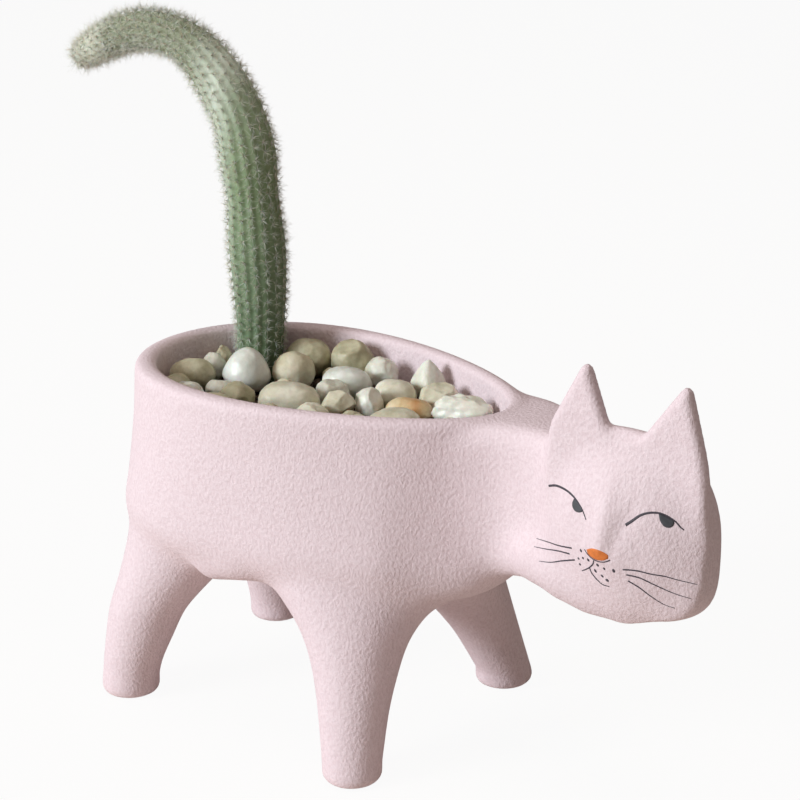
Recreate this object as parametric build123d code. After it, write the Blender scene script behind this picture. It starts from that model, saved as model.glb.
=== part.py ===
from build123d import *
import math
import os

# Units are millimetres. The cat's body lies along X with the rear at -X and the head at +X.
# The face looks along -Y. Z = 0 is the standing surface.

# Pot sizes
rim_height = 100.0
opening_length = 113.0
opening_width = 67.0
lip_wall = 5.5
lip_outer_round = 2.3
lip_inner_round = 1.6
opening_taper_share = 0.24
turn_growth_share = 1.012
rim_square = 2.0
turn_square = 2.5
belly_height = 42.2
belly_rise = 17.0
belly_inset = 23.0
belly_shift = 10.0

# Well sizes
floor_thickness = 7.0
well_draft = 2.5
floor_round = 8.0
drain_hole_radius = 5.0

# Neck sizes
neck_top_square = 7.0
neck_bottom_square = 3.0

# Each row along the neck: place in X from the pot's front end as a share of the head's reach, middle in Y and half
# width as shares of the opening's half width, and bottom and top as shares of the way from belly to rim.
neck_section_shares = [
    (-0.836, 0.000, 0.925, 0.014, 0.945),
    (-0.604, 0.000, 0.800, 0.014, 0.960),
    (-0.372, 0.070, 0.680, 0.026, 0.972),
    (-0.140, 0.085, 0.570, 0.130, 0.988),
    (0.094, 0.040, 0.440, 0.262, 1.008),
    (0.326, -0.065, 0.355, 0.308, 1.018),
    (0.558, -0.215, 0.305, 0.313, 1.035),
    (0.790, -0.430, 0.195, 0.340, 1.050),
]

# Leg sizes. The places of the feet and hips are shares of the opening's half length and half width.
leg_rise = 15.8
foot_radius = 8.1
foot_round = 2.4
thigh_radius = 32.0
hip_lean_share = 0.6
rear_foot_along_share = -0.922
rear_foot_across_share = 1.054
front_foot_along_share = 0.628
front_foot_across_share = 1.134
rear_hip_along_share = -0.938
rear_hip_across_share = 0.881
front_hip_along_share = 0.513
front_hip_across_share = 0.940

# Each row: share of the way from the foot's to the thigh's radius at even steps up the leg, and shift towards the
# middle of the pot as a share of the thigh's radius.
front_leg_shares = [
    (0.000, 0.000),
    (0.010, 0.003),
    (0.038, 0.018),
    (0.070, 0.034),
    (0.117, 0.056),
    (0.180, 0.078),
    (0.280, 0.103),
    (0.480, 0.150),
    (0.740, 0.200),
    (0.900, 0.220),
    (1.000, 0.220),
]
rear_leg_shares = [
    (0.000, 0.020),
    (0.012, 0.024),
    (0.038, 0.006),
    (0.079, -0.006),
    (0.117, -0.015),
    (0.172, -0.006),
    (0.245, 0.020),
    (0.325, 0.036),
    (0.390, 0.044),
    (0.445, 0.044),
    (0.480, 0.044),
]

# Head sizes
head_reach = 43.0
head_rise_share = 0.723
head_half_width = 22.6
head_half_height = 26.0
head_back_y = -15.0
head_front_y = -19.5
head_edge_round = 2.0
face_front_y = -26.0
face_half_width = 20.0
face_half_height = 21.5
face_cap_share = 0.74
face_drop = 2.0
nose_ridge_length = 26.0
nose_ridge_width = 11.0
nose_ridge_depth = 7.0
nose_ridge_proud = 1.4
nose_ridge_drop = 2.0
nose_ridge_aside = 1.0
skull_back_y = -5.2
skull_top_square = 2.5
skull_bottom_square = 3.8

# Each row is a corner of the head's outline seen from the front, from the right cheek over the ears and round
# the chin: place across and up as shares of the half width and half height, and corner radius as a share of
# the half width.
head_corner_shares = [
    (1.035, 0.02, 1.40),
    (0.985, 0.72, 1.40),
    (0.710, 1.56, 0.06),
    (0.165, 0.905, 0.22),
    (-0.215, 0.885, 0.22),
    (-0.530, 1.60, 0.06),
    (-0.985, 0.86, 0.60),
    (-1.030, 0.30, 1.30),
    (-0.970, -0.45, 0.80),
    (-0.620, -0.84, 0.62),
    (0.050, -0.905, 1.30),
    (0.720, -0.86, 0.50),
    (0.990, -0.50, 0.75),
]

# Each row is a section of the back of the head: share of the way from the face to the back, half width as a share
# of the head's half width, and bottom and top as shares of its half height, from its middle.
skull_section_shares = [
    (0.104, 1.000, -0.88, 0.95),
    (0.328, 1.018, -0.91, 0.95),
    (0.552, 1.018, -0.93, 0.86),
    (0.776, 0.975, -0.90, 0.55),
    (1.000, 0.780, -0.66, 0.20),
]

# Drain sizes
plug_flange_radius = 8.0
plug_flange_height = 2.5
plug_stem_short = 1.5
plug_pull_radius = 3.0
plug_pull_length = 4.0
plug_gap = 0.15
screen_radius = 9.0
screen_thickness = 0.8
screen_hole_radius = 0.8
screen_hole_pitch = 2.6
screen_hole_rings = 3

# Filling sizes
filling_gap = 0.3
grit_depth = 9.0
soil_depth = 13.5
root_ball_radius = 15.0
root_ball_width_share = 0.84
root_ball_inward_share = 0.12
root_ball_half_height_share = 0.355
root_ball_middle_share = 0.445
root_top_share = 0.62
pebble_size = 17.2
pebble_gap = 0.12
pebble_probe_steps = 22

# Cactus sizes. The stem's place is a share of the opening's half length and half width.
stem_along_share = -0.726
stem_across_share = 0.478
stem_radius = 7.4

# Each row along the cactus stem: place in X and height, from the axis and the standing surface, and radius, as
# shares of the rim height.
stem_section_shares = [
    (0.005, 0.760, 0.070),
    (0.005, 0.840, 0.070),
    (0.005, 0.920, 0.070),
    (0.009, 1.020, 0.072),
    (0.010, 1.130, 0.079),
    (0.003, 1.270, 0.085),
    (-0.008, 1.410, 0.076),
    (-0.023, 1.530, 0.083),
    (-0.048, 1.630, 0.077),
    (-0.093, 1.705, 0.078),
    (-0.158, 1.778, 0.074),
    (-0.240, 1.836, 0.068),
    (-0.338, 1.862, 0.067),
    (-0.438, 1.860, 0.066),
    (-0.540, 1.832, 0.062),
    (-0.626, 1.792, 0.054),
]
stem_tip_shares = [
    (-0.672, 1.768, 0.046),
    (-0.696, 1.755, 0.034),
    (-0.708, 1.748, 0.016),
]

# Each row is a pebble: place along and across as shares of the opening's half length and half width, its
# length, width and height as shares of the pebble size, and its turn and lean in degrees. The first table lies
# on the soil, the second lies on top of the first.
lower_pebble_shares = [
    (-0.93, -0.13, 0.78, 0.64, 0.58, 44, 0),
    (-0.87, 0.08, 0.44, 0.40, 0.55, 60, 0),
    (-0.59, 0.07, 0.84, 0.78, 0.79, 35, 6),
    (-0.43, 0.34, 0.72, 0.64, 0.67, 35, 0),
    (-0.15, -0.24, 1.02, 0.72, 0.58, 35, 4),
    (-0.08, 0.16, 0.62, 0.46, 0.50, 60, 8),
    (-0.12, 0.46, 0.84, 0.64, 0.54, 30, 6),
    (-0.53, 0.75, 0.84, 0.66, 0.68, 25, 0),
    (-0.31, 0.82, 0.84, 0.62, 0.74, 8, 6),
    (0.22, 0.42, 0.70, 0.54, 0.56, 30, 6),
    (-0.05, 0.74, 0.58, 0.50, 0.62, 20, 6),
    (0.34, 0.73, 0.60, 0.52, 0.80, 30, 0),
    (0.40, 0.54, 0.66, 0.54, 0.58, 50, 0),
    (0.47, 0.20, 0.80, 0.48, 0.44, 20, 5),
    (0.41, -0.06, 0.88, 0.60, 0.44, 30, -4),
    (0.70, 0.34, 1.04, 0.50, 0.62, 18, 4),
    (0.86, 0.06, 0.62, 0.56, 0.50, 80, 0),
    (0.72, -0.20, 0.78, 0.60, 0.52, 150, 6),
    (0.54, -0.54, 0.76, 0.60, 0.50, 140, 0),
    (0.32, -0.62, 0.80, 0.64, 0.54, 15, 7),
    (0.08, -0.13, 0.66, 0.50, 0.58, 20, 8),
    (0.09, -0.74, 0.82, 0.60, 0.54, 170, 5),
    (-0.14, -0.80, 0.78, 0.62, 0.52, 20, 0),
    (0.07, -0.44, 0.60, 0.50, 0.50, 50, 0),
    (-0.38, -0.78, 0.84, 0.58, 0.56, 175, 6),
    (-0.42, -0.42, 0.64, 0.56, 0.52, 90, 0),
    (-0.60, -0.70, 0.72, 0.60, 0.54, 150, 0),
    (-0.58, -0.32, 0.52, 0.46, 0.44, 60, 0),
    (-0.78, -0.48, 0.56, 0.50, 0.50, 120, 5),
    (-0.33, 0.04, 0.44, 0.38, 0.42, 30, 0),
    (-0.27, 0.58, 0.36, 0.32, 0.38, 140, 0),
    (0.17, 0.05, 0.50, 0.46, 0.56, 20, 0),
    (0.70, -0.02, 0.38, 0.34, 0.42, 20, 0),
    (-0.86, 0.28, 0.38, 0.36, 0.55, 20, 0),
    (0.28, -0.32, 0.48, 0.42, 0.44, 30, 0),
    (0.10, 0.62, 0.36, 0.32, 0.36, 150, 0),
]
upper_pebble_shares = [
    (-0.53, -0.84, 0.34, 0.30, 0.26, 30, 0),
    (0.39, -0.36, 0.34, 0.30, 0.26, 30, 0),
    (0.46, -0.66, 0.34, 0.30, 0.26, 30, 0),
    (-0.28, -0.60, 0.34, 0.30, 0.26, 30, 0),
    (0.67, -0.48, 0.34, 0.30, 0.26, 30, 0),
    (-0.07, -0.54, 0.34, 0.30, 0.26, 30, 0),
    (0.00, -0.84, 0.34, 0.30, 0.26, 30, 0),
]
spread_rounds = 240
spread_share = 0.5


# Places that follow from the sizes
floor_height = belly_height + floor_thickness
grit_top = floor_height + grit_depth
soil_height = rim_height - soil_depth
leg_height = belly_height + leg_rise
front_end_x = opening_length / 2 + lip_wall
head_centre_x = front_end_x + head_reach
head_centre_height = belly_height + (rim_height - belly_height) * head_rise_share
stem_x = opening_length / 2 * stem_along_share
stem_y = opening_width / 2 * stem_across_share


def signed_power(value, power):
    """The power of a number, with the number's sign."""
    return math.copysign(abs(value) ** power, value)


def closed_spline(points):
    """A smooth closed wire through the points."""
    return Wire([Edge.make_spline(points, periodic=True)])


def egg_plan(half_length, half_width, square, height, shift=0):
    """A closed egg-shaped outline at one height, blunt at the rear and narrow at the front."""
    steps = 36
    points = []
    for step in range(steps):
        angle = 2 * math.pi * (step + 0.5) / steps
        along, across = math.cos(angle), math.sin(angle)
        x = half_length * signed_power(along, 2 / square) - shift
        y = half_width * signed_power(across, 2 / square) * (1 - opening_taper_share * along)
        points.append((x, y, height))
    return closed_spline(points)


def pot_body():
    """The outside of the pot: a nearly upright wall that turns in a wide curve under the belly."""
    wall_steps, belly_steps = 8, 7
    half_length = opening_length / 2 + lip_wall
    half_width = opening_width / 2 + lip_wall
    turn_height = belly_height + belly_rise
    plans = []
    for step in range(wall_steps):
        down = step / wall_steps
        grow = 1 + (turn_growth_share - 1) * down
        square = rim_square + (turn_square - rim_square) * down ** 2
        height = rim_height + (turn_height - rim_height) * down
        plans.append(egg_plan(half_length * grow, half_width * grow, square, height))
    for step in range(belly_steps):
        angle = math.pi / 2 * step / (belly_steps - 1)
        inset = belly_inset * (1 - math.cos(angle))
        shift = belly_shift * (1 - math.cos(angle))
        height = turn_height - (turn_height - belly_height) * math.sin(angle)
        grown_length = half_length * turn_growth_share - inset
        grown_width = half_width * turn_growth_share - inset
        plans.append(egg_plan(grown_length, grown_width, turn_square, height, shift))
    body = Solid.make_loft(plans)
    rim_edges = body.edges().filter_by(lambda edge: edge.center().Z > rim_height - lip_outer_round)
    return body.fillet(lip_outer_round, rim_edges)


def well(gap):
    """The room inside the pot, from its flat floor to above the rim, less a gap all round."""
    wall_steps, floor_steps = 12, 5
    curve_top = floor_height + floor_round
    open_top = rim_height + lip_wall
    plans = []
    for step in range(wall_steps):
        down = step / wall_steps
        inset = gap + well_draft * down
        height = open_top + (curve_top - open_top) * down
        plans.append(egg_plan(opening_length / 2 - inset, opening_width / 2 - inset, rim_square, height))
    for step in range(floor_steps):
        angle = math.pi / 2 * step / (floor_steps - 1)
        inset = gap + well_draft + floor_round * (1 - math.cos(angle))
        height = curve_top - floor_round * math.sin(angle)
        plans.append(egg_plan(opening_length / 2 - inset, opening_width / 2 - inset, rim_square, height))
    return Solid.make_loft(plans)


def neck():
    """The thick neck: upright rounded sections from inside the pot out to the head."""
    rings = []
    rise = rim_height - belly_height
    for place, middle, half_width, bottom, top in neck_section_shares:
        corners = rounded_box(half_width, bottom, top, neck_bottom_square, neck_top_square)
        points = [(front_end_x + head_reach * place, opening_width / 2 * (middle + across), belly_height + rise * up)
                  for across, up in corners]
        rings.append(closed_spline(points))
    return Solid.make_loft(rings)


def rounded_box(half_width, bottom, top, bottom_square, top_square):
    """Points round a box with soft corners, with its own softness at the bottom and at the top."""
    steps = 36
    points = []
    for step in range(steps):
        angle = 2 * math.pi * (step + 0.5) / steps
        square = top_square if math.sin(angle) > 0 else bottom_square
        across = half_width * signed_power(math.cos(angle), 2 / square)
        up = (top - bottom) / 2 * signed_power(math.sin(angle), 2 / square)
        points.append((across, (top + bottom) / 2 + up))
    return points


def leg(foot_x, foot_y, hip_x, hip_y, section_shares):
    """One splayed leg: its outer side runs straight up to the pot's wall, its inner side widens to the belly."""
    away_x, away_y = foot_x - hip_x * hip_lean_share, foot_y - hip_y * hip_lean_share
    away = math.hypot(away_x, away_y)
    out_x, out_y = away_x / away, away_y / away
    ahead_x, ahead_y = abs(out_y), -math.copysign(out_x, foot_y)
    edge_x, edge_y = foot_x + foot_radius * out_x, foot_y + foot_radius * out_y
    rings = []
    for step, (grow, shift) in enumerate(section_shares):
        level = step / (len(section_shares) - 1)
        radius = foot_radius + (thigh_radius - foot_radius) * grow
        centre_x = edge_x + (hip_x - edge_x) * level - radius * out_x + thigh_radius * shift * ahead_x
        centre_y = edge_y + (hip_y - edge_y) * level - radius * out_y + thigh_radius * shift * ahead_y
        rings.append(Wire.make_circle(radius, Plane((centre_x, centre_y, leg_height * level))))
    shaft = Solid.make_loft(rings)
    sole_edges = shaft.edges().filter_by(lambda edge: edge.bounding_box().max.Z < foot_round)
    return shaft.fillet(foot_round, sole_edges)


def skull():
    """The back of the head: a round box that grows shorter towards its back."""
    rings = []
    for place, half_width, bottom, top in skull_section_shares:
        y = head_front_y + (skull_back_y - head_front_y) * place
        corners = rounded_box(half_width, bottom, top, skull_bottom_square, skull_top_square)
        points = [(head_centre_x + head_half_width * across, y, head_centre_height + head_half_height * up)
                  for across, up in corners]
        rings.append(closed_spline(points))
    return Solid.make_loft(rings)


def head():
    """The flat turned head: a thin eared slab with round edges, a round back, a domed face and a nose ridge."""
    corners = [(head_half_width * across, head_half_height * up) for across, up, round_share in head_corner_shares]
    outline = make_face(Polyline(*corners, close=True))
    for corner, (across, up, round_share) in zip(corners, head_corner_shares):
        at_corner = outline.vertices().sort_by_distance((corner[0], corner[1], 0))[0]
        outline = fillet(at_corner, head_half_width * round_share)
    face_plane = Plane((head_centre_x, head_back_y, head_centre_height), x_dir=(1, 0, 0), z_dir=(0, -1, 0))
    slab = extrude(face_plane * outline.face(), head_back_y - head_front_y).solid()
    rims = slab.edges().filter_by(lambda edge: abs((edge @ 0).Y - (edge @ 1).Y) < head_edge_round)
    slab = slab.fillet(head_edge_round, rims)
    depth = (head_front_y - face_front_y) / (1 - math.sqrt(1 - face_cap_share ** 2))
    cap_width = face_half_width / face_cap_share
    cap_height = face_half_height / face_cap_share
    cap_place = Location((head_centre_x, face_front_y + depth, head_centre_height - face_drop))
    dome = scale(Solid.make_sphere(1), by=(cap_width, depth, cap_height)).moved(cap_place)
    front_place = Location((head_centre_x, head_front_y + head_edge_round - depth, head_centre_height))
    front = Box(2 * cap_width, 2 * depth, 3 * cap_height).moved(front_place)
    ridge_y = face_front_y - nose_ridge_proud + nose_ridge_depth
    ridge_place = Location((head_centre_x + nose_ridge_aside, ridge_y, head_centre_height - nose_ridge_drop))
    ridge = scale(Solid.make_sphere(1), by=(nose_ridge_width / 2, nose_ridge_depth, nose_ridge_length / 2))
    return [slab, skull(), (dome & front).solid(), ridge.moved(ridge_place)]


def upright(radius, bottom, top, x, y):
    """A vertical cylinder between two heights."""
    return Solid.make_cylinder(radius, top - bottom, Plane((x, y, bottom)))


def slice_between(solid, bottom, top):
    """The part of a solid between two heights."""
    wide = 2 * opening_length
    slab = Box(wide, wide, top - bottom).moved(Location((0, 0, (top + bottom) / 2)))
    return (solid & slab).solid()


def cat_planter():
    """The one-piece casting: pot, legs, neck and head, with the well and its drain hole."""
    half_length, half_width = opening_length / 2, opening_width / 2
    rear_foot_x, rear_foot_y = half_length * rear_foot_along_share, half_width * rear_foot_across_share
    rear_hip_x, rear_hip_y = half_length * rear_hip_along_share, half_width * rear_hip_across_share
    front_foot_x, front_foot_y = half_length * front_foot_along_share, half_width * front_foot_across_share
    front_hip_x, front_hip_y = half_length * front_hip_along_share, half_width * front_hip_across_share
    legs = []
    for side in (-1, 1):
        legs.append(leg(rear_foot_x, side * rear_foot_y, rear_hip_x, side * rear_hip_y, rear_leg_shares))
        legs.append(leg(front_foot_x, side * front_foot_y, front_hip_x, side * front_hip_y, front_leg_shares))
    cat = pot_body().fuse(neck(), *head(), *legs)
    cat = (cat - well(0)).solid()
    mouth = [edge for edge in cat.edges() if edge.bounding_box().min.Z > rim_height - plug_gap
             and edge.bounding_box().max.X < (opening_length + lip_wall) / 2]
    cat = cat.fillet(lip_inner_round, mouth)
    hole = upright(drain_hole_radius, belly_height - floor_thickness, floor_height + floor_thickness, -belly_shift, 0)
    return (cat - hole).solid()


def drain_plug():
    """The soft stopper: a flange under the belly, a stem in the drain hole and a short pull."""
    stem_radius_inside = drain_hole_radius - plug_gap
    x = -belly_shift
    flange = upright(plug_flange_radius, belly_height - plug_flange_height, belly_height, x, 0)
    inside = upright(stem_radius_inside, belly_height - plug_flange_height, floor_height - plug_stem_short, x, 0)
    pull_bottom = belly_height - plug_flange_height - plug_pull_length
    pull = upright(plug_pull_radius, pull_bottom, belly_height - plug_flange_height, x, 0)
    return flange.fuse(inside, pull).solid()


def drain_screen():
    """The round screen that keeps the grit out of the drain hole."""
    x = -belly_shift
    screen = upright(screen_radius, floor_height, floor_height + screen_thickness, x, 0)
    holes = []
    for ring in range(screen_hole_rings):
        count = max(1, 6 * ring)
        for index in range(count):
            angle = 2 * math.pi * index / count
            hole_x = x + ring * screen_hole_pitch * math.cos(angle)
            hole_y = ring * screen_hole_pitch * math.sin(angle)
            holes.append(upright(screen_hole_radius, belly_height, floor_height + floor_thickness, hole_x, hole_y))
    return (screen - holes).solid()


def cactus_stem():
    """The tail-like cactus: a thick stem that stands up and arches backwards to a round tip."""
    rows = stem_section_shares + stem_tip_shares
    rings = []
    for index, (along, up, radius) in enumerate(rows):
        before = rows[max(index - 1, 0)]
        after = rows[min(index + 1, len(rows) - 1)]
        heading = (after[0] - before[0], 0, after[1] - before[1])
        centre = (stem_x + rim_height * along, stem_y, rim_height * up)
        ring_plane = Plane(centre, x_dir=(0, 1, 0), z_dir=heading)
        rings.append(Wire.make_circle(rim_height * radius, ring_plane))
    return Solid.make_loft(rings)


def root_ball():
    """The knot of roots under the stem, flat on top where the stem starts."""
    soil_rise = soil_height - grit_top
    width = root_ball_radius * root_ball_width_share
    half_height = soil_rise * root_ball_half_height_share
    inward = opening_length / 2 * root_ball_inward_share
    middle_height = grit_top + soil_rise * root_ball_middle_share
    ball = scale(Solid.make_sphere(1), by=(root_ball_radius, width, half_height))
    ball = ball.moved(Location((stem_x + inward, stem_y - inward, middle_height)))
    return slice_between(ball, grit_top, grit_top + soil_rise * root_top_share)


def unplaced_pebble(row):
    """A pebble's half sizes, axes and first place, from its row."""
    along, across, length, width, height, turn, lean = row
    turn_angle, lean_angle = math.radians(turn), math.radians(lean)
    ct, st, cl, sl = math.cos(turn_angle), math.sin(turn_angle), math.cos(lean_angle), math.sin(lean_angle)
    return {
        "radii": [pebble_size / 2 * share for share in (length, width, height)],
        "axes": [(ct * cl, st * cl, -sl), (-st, ct, 0), (ct * sl, st * sl, cl)],
        "turn": turn,
        "lean": lean,
        "x": along * opening_length / 2,
        "y": across * opening_width / 2,
    }


def settled_pebbles():
    """The pebbles, spread until they pass each other and let down on the soil and on one another."""
    lower = [unplaced_pebble(row) for row in lower_pebble_shares]
    upper = [unplaced_pebble(row) for row in upper_pebble_shares]
    for turn in range(spread_rounds):
        for index, pebble in enumerate(lower):
            for other in lower[:index]:
                push_apart(pebble, other)
        for pebble in lower:
            clear_of_walls(pebble)
    for pebble in upper:
        clear_of_walls(pebble)
    settled = []
    for pebble in lower + upper:
        pebble["z"] = soil_height + reach_along(pebble, (0, 0, 1))
        for other in settled:
            pebble["z"] = max(pebble["z"], resting_height(pebble, other))
        settled.append(pebble)
    return settled


def push_apart(pebble, other):
    """Moves two pebbles apart sideways when they meet."""
    away_x, away_y = pebble["x"] - other["x"], pebble["y"] - other["y"]
    away = math.hypot(away_x, away_y)
    if away > max(pebble["radii"]) + max(other["radii"]) + 2 * pebble_gap:
        return
    way = (away_x / away, away_y / away, 0)
    short = reach_along(pebble, way) + reach_along(other, way) + 2 * pebble_gap - away
    if short > 0:
        pebble["x"] += spread_share * short * way[0]
        pebble["y"] += spread_share * short * way[1]
        other["x"] -= spread_share * short * way[0]
        other["y"] -= spread_share * short * way[1]


def reach_along(pebble, direction):
    """How far a pebble reaches from its middle along a direction."""
    total = 0
    for radius, axis in zip(pebble["radii"], pebble["axes"]):
        total += (radius * sum(a * d for a, d in zip(axis, direction))) ** 2
    return math.sqrt(total)


def clear_of_walls(pebble):
    """Moves a pebble inwards until it clears the well's wall, and away from the stem until it clears it."""
    margin = filling_gap + well_draft / 2
    half_length, half_width = opening_length / 2 - margin, opening_width / 2 - margin
    ways = [(math.cos(step * math.pi / 8), math.sin(step * math.pi / 8)) for step in range(16)]
    reaches = [reach_along(pebble, (way_x, way_y, 0)) for way_x, way_y in ways]
    for attempt in range(100):
        outside = False
        for (way_x, way_y), reach in zip(ways, reaches):
            edge_x, edge_y = pebble["x"] + reach * way_x, pebble["y"] + reach * way_y
            along = min(1, abs(edge_x) / half_length)
            limit = half_width * math.sqrt(1 - along ** 2) * (1 - opening_taper_share * edge_x / half_length)
            outside = outside or abs(edge_y) > limit
        if outside:
            pebble["x"], pebble["y"] = pebble["x"] * 0.99, pebble["y"] * 0.99
        away_x, away_y = pebble["x"] - stem_x, pebble["y"] - stem_y
        away = math.hypot(away_x, away_y)
        way = (away_x / away, away_y / away, 0)
        short = stem_radius + 2 * pebble_gap + reach_along(pebble, way) - away
        if short > 0:
            pebble["x"], pebble["y"] = pebble["x"] + short * way[0], pebble["y"] + short * way[1]
        if not outside and short <= 0:
            break


def surface_height(pebble, side_x, side_y, sign, swell):
    """The height of a pebble's top (sign 1) or underside (sign -1) over its middle, or None outside it."""
    form = [[0, 0, 0], [0, 0, 0], [0, 0, 0]]
    for radius, axis in zip(pebble["radii"], pebble["axes"]):
        for row in range(3):
            for column in range(3):
                form[row][column] += axis[row] * axis[column] / (radius + swell) ** 2
    square = form[2][2]
    slope = 2 * (form[0][2] * side_x + form[1][2] * side_y)
    rest = form[0][0] * side_x ** 2 + 2 * form[0][1] * side_x * side_y + form[1][1] * side_y ** 2 - 1
    inside = slope ** 2 - 4 * square * rest
    if inside < 0:
        return None
    return (-slope + sign * math.sqrt(inside)) / (2 * square)


def resting_height(pebble, other):
    """The height at which a pebble's middle rests on another pebble, or zero when they pass each other."""
    reach, other_reach = max(pebble["radii"]) + pebble_gap, max(other["radii"]) + pebble_gap
    if math.hypot(pebble["x"] - other["x"], pebble["y"] - other["y"]) > reach + other_reach:
        return 0
    height = 0
    for step_x in range(-pebble_probe_steps, pebble_probe_steps + 1):
        for step_y in range(-pebble_probe_steps, pebble_probe_steps + 1):
            side_x, side_y = reach * step_x / pebble_probe_steps, reach * step_y / pebble_probe_steps
            low = surface_height(pebble, side_x, side_y, -1, pebble_gap)
            if low is None:
                continue
            over_x, over_y = pebble["x"] + side_x - other["x"], pebble["y"] + side_y - other["y"]
            high = surface_height(other, over_x, over_y, 1, pebble_gap)
            if high is not None:
                height = max(height, other["z"] + high - low)
    return height


def pebble_solid(pebble):
    """One pebble: a flattened round stone."""
    stone = scale(Solid.make_sphere(1), by=tuple(pebble["radii"]))
    lean = Location((0, 0, 0), (0, pebble["lean"], 0))
    return stone.moved(Location((pebble["x"], pebble["y"], pebble["z"]), (0, 0, pebble["turn"])) * lean)


def main():
    os.makedirs("parts", exist_ok=True)
    stem = cactus_stem()
    roots = root_ball()
    filling = well(filling_gap)
    pocket = upright(screen_radius + plug_gap, belly_height, floor_height + screen_thickness, -belly_shift, 0)
    parts = {
        "cat_planter": cat_planter(),
        "drain_plug": drain_plug(),
        "drain_screen": drain_screen(),
        "drainage_grit": (slice_between(filling, floor_height, grit_top) - pocket).solid(),
        "potting_soil": (slice_between(filling, grit_top, soil_height) - stem - roots).solid(),
        "root_ball": roots,
        "cactus_stem": stem,
    }
    for index, pebble in enumerate(settled_pebbles()):
        parts[f"pebble_{index + 1:02d}"] = pebble_solid(pebble)

    tail_end = stem_x + rim_height * stem_tip_shares[-1][0]
    head_end = head_centre_x + head_half_width
    centred = Location((-(tail_end + head_end) / 2, 0, 0))
    for name, solid in parts.items():
        export_step(solid.moved(centred), f"parts/{name}.step")


main()
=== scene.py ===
import math
import random

import bpy
import numpy as np
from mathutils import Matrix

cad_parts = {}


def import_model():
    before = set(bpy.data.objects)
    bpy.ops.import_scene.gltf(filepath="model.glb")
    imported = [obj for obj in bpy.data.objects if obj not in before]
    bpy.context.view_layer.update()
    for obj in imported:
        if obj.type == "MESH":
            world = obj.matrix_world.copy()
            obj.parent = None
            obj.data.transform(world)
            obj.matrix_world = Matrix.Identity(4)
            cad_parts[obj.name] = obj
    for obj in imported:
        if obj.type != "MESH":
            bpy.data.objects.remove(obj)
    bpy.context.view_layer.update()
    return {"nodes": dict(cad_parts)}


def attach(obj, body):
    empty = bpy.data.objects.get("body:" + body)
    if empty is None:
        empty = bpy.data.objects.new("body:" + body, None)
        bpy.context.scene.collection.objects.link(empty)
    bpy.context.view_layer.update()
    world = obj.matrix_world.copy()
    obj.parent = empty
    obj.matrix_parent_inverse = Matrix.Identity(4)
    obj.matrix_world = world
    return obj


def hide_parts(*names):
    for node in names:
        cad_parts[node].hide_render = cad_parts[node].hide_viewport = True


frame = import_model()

import openvdb as vdb
from mathutils import Matrix, Vector, noise
from mathutils.bvhtree import BVHTree

MM = 0.001

# Sizes that the CAD source also uses, in millimetres. X in the row's frame is X in the pot's frame plus
# FRAME_SHIFT: DRAIN_X is in the pot's frame, and STEM_X in the row's
FRAME_SHIFT = -7.9
RIM_HEIGHT = 100.0
SOIL_HEIGHT = 86.5
OPENING_LENGTH = 113.0
OPENING_WIDTH = 67.0
OPENING_TAPER = 0.24
DRAIN_X = -10.0
STEM_X = FRAME_SHIFT - 41.0
STEM_Y = 16.0

# The camera that fits the photograph, in millimetres in the row's frame
CAMERA_AZIMUTH = math.radians(36.5)
CAMERA_ELEVATION = math.radians(18.3)
CAMERA_DISTANCE = 548.0
CAMERA_TARGET = Vector((23.3 + FRAME_SHIFT, 0.0, 95.9))
FOCAL_PIXELS = 2000.0
PHOTO_SIZE = 800.0
SENSOR_WIDTH = 36.0

eye_back = Vector((math.sin(CAMERA_AZIMUTH) * math.cos(CAMERA_ELEVATION),
                   -math.cos(CAMERA_AZIMUTH) * math.cos(CAMERA_ELEVATION), math.sin(CAMERA_ELEVATION)))
eye_right = Vector((math.cos(CAMERA_AZIMUTH), math.sin(CAMERA_AZIMUTH), 0))
eye_up = eye_back.cross(eye_right)
eye = CAMERA_TARGET + eye_back * CAMERA_DISTANCE


# Materials

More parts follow.
